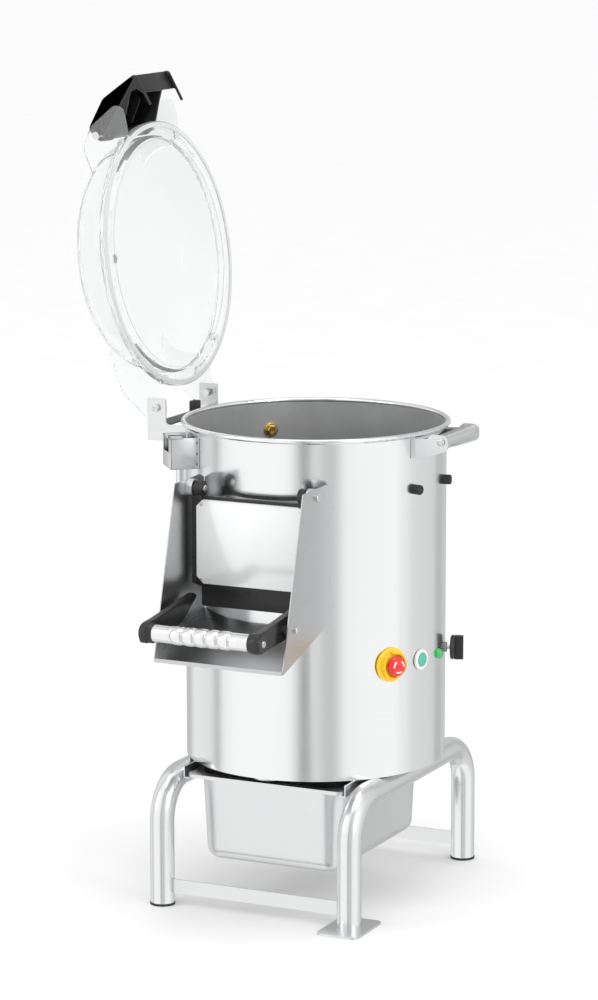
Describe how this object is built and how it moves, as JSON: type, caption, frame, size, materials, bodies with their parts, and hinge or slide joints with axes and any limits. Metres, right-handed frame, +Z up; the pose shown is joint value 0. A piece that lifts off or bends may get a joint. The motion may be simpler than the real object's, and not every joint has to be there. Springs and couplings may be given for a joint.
{
  "type": "electric potato peeler",
  "caption": "Floor-standing electric peeler: steel drum with abrasive disc, hinged clear lid, discharge door with lever, belt drive and peelings pan.",
  "frame": {"origin": "on the floor, on the axis of the drum, midway between the two floor bolts", "axes": "+Z up along the drum, -Y toward the discharge chute, -X toward the lid hinge"},
  "size_m": [0.6894, 0.756, 1.4235],
  "materials": {
    "brushed_drum": "brushed",
    "polished_tube": "polished",
    "satin_steel": "satin",
    "bright_plate": "polished",
    "clear_plastic": "clear moulded polycarbonate",
    "black_plastic": "moulded",
    "black_rubber": "matt",
    "yellow_plastic": "moulded",
    "red_plastic": "moulded",
    "green_plastic": "translucent",
    "grey_plastic": "moulded",
    "zinc_bolts": "zinc plated",
    "brass_fitting": "turned",
    "grit_coat": "abrasive grit",
    "cast_iron_parts": "as cast",
    "motor_paint": "painted"
  },
  "bodies": {
    "machine": {"left_leg_tube": "polished_tube", "right_leg_tube": "polished_tube", "foot_plates": "satin_steel", "rubber_feet": "black_rubber", "cross_strips": "satin_steel", "pan_rails": "satin_steel", "drum_shell": "brushed_drum", "chamber_floor": "satin_steel", "abrasive_liner": "grit_coat", "bearing_housing": "cast_iron_parts", "shaft_bearings": "zinc_bolts", "shaft_seal": "black_rubber", "motor_body": "motor_paint", "drive_belt": "black_rubber", "motor_bracket": "satin_steel", "drain_duct": "satin_steel", "bottom_cover": "satin_steel", "chute_shell": "satin_steel", "door_frame": "satin_steel", "door_axle": "zinc_bolts", "axle_bosses": "black_plastic", "lever_rod": "zinc_bolts", "chute_screws": "zinc_bolts", "hinge_ears": "satin_steel", "hinge_bolts": "zinc_bolts", "switch_box": "satin_steel", "conduit_pipe": "polished_tube", "latch_bracket": "satin_steel", "latch_bar": "polished_tube", "latch_bolts": "zinc_bolts", "rubber_stubs": "black_rubber", "stop_plate": "yellow_plastic", "start_bezel": "bright_plate", "run_lamp": "green_plastic", "contact_blocks": "grey_plastic", "spray_nozzle": "brass_fitting", "water_inlet": "zinc_bolts", "cable_gland": "grey_plastic"},
    "lid": {"lid_shell": "clear_plastic", "lid_seal": "clear_plastic", "latch_pin": "zinc_bolts", "vent_plug": "grey_plastic"},
    "lid_hook": {"latch_handle": "black_plastic"},
    "door": {"door_panel": "black_plastic", "door_plate": "bright_plate", "door_rivets": "zinc_bolts", "door_seal": "black_rubber"},
    "lever": {"lever_arms": "black_plastic", "lever_grip": "black_plastic", "grip_bolts": "zinc_bolts"},
    "stop_button": {"stop_head": "red_plastic"},
    "start_button": {"start_cap": "green_plastic"},
    "timer": {"timer_knob": "black_plastic", "timer_shaft": "zinc_bolts"},
    "rotor": {"abrasive_disc": "grit_coat", "disc_carrier": "satin_steel", "drive_shaft": "zinc_bolts", "driven_pulley": "cast_iron_parts"},
    "motor_rotor": {"motor_pulley": "cast_iron_parts"},
    "pan": {"peelings_pan": "satin_steel"}
  },
  "joints": [
    {"name": "lid_hinge", "type": "hinge", "parent": "machine", "child": "lid", "pos_m": [-0.26, 0, 0.848], "axis": [0, 1, 0], "range_deg": [0, 98]},
    {"name": "latch_hinge", "type": "hinge", "parent": "lid", "child": "lid_hook", "pos_m": [-0.37652, 0, 1.31785], "axis": [0, 1, 0], "range_deg": [-25, 8]},
    {"name": "door_hinge", "type": "hinge", "parent": "machine", "child": "door", "pos_m": [0, -0.252, 0.743], "axis": [-1, 0, 0], "range_deg": [0, 75]},
    {"name": "lever_pivot", "type": "hinge", "parent": "machine", "child": "lever", "pos_m": [0, -0.334, 0.533], "axis": [-1, 0, 0], "range_deg": [0, 35]},
    {"name": "stop_push", "type": "slide", "parent": "machine", "child": "stop_button", "axis": [-0.8746, 0.4848, 0], "range_m": [0, 0.005]},
    {"name": "start_push", "type": "slide", "parent": "machine", "child": "start_button", "axis": [-0.9781, 0.2079, 0], "range_m": [0, 0.003], "stiffness_N_per_m": 400},
    {"name": "timer_turn", "type": "hinge", "parent": "machine", "child": "timer", "pos_m": [0, 0, 0.433], "axis": [0.9563, 0.2924, 0], "range_deg": [0, 300]},
    {"name": "disc_spin", "type": "hinge", "parent": "machine", "child": "rotor", "pos_m": [0, 0, 0], "axis": [0, 0, 1], "continuous": true},
    {"name": "motor_spin", "type": "hinge", "parent": "machine", "child": "motor_rotor", "pos_m": [0, 0.142, 0], "axis": [0, 0, 1], "continuous": true},
    {"name": "pan_slide", "type": "slide", "parent": "machine", "child": "pan", "axis": [0, -1, 0], "range_m": [0, 0.3]}
  ],
  "couplings": [
    {"joint": "motor_spin", "follows": "disc_spin", "ratio": 3.8}
  ]
}
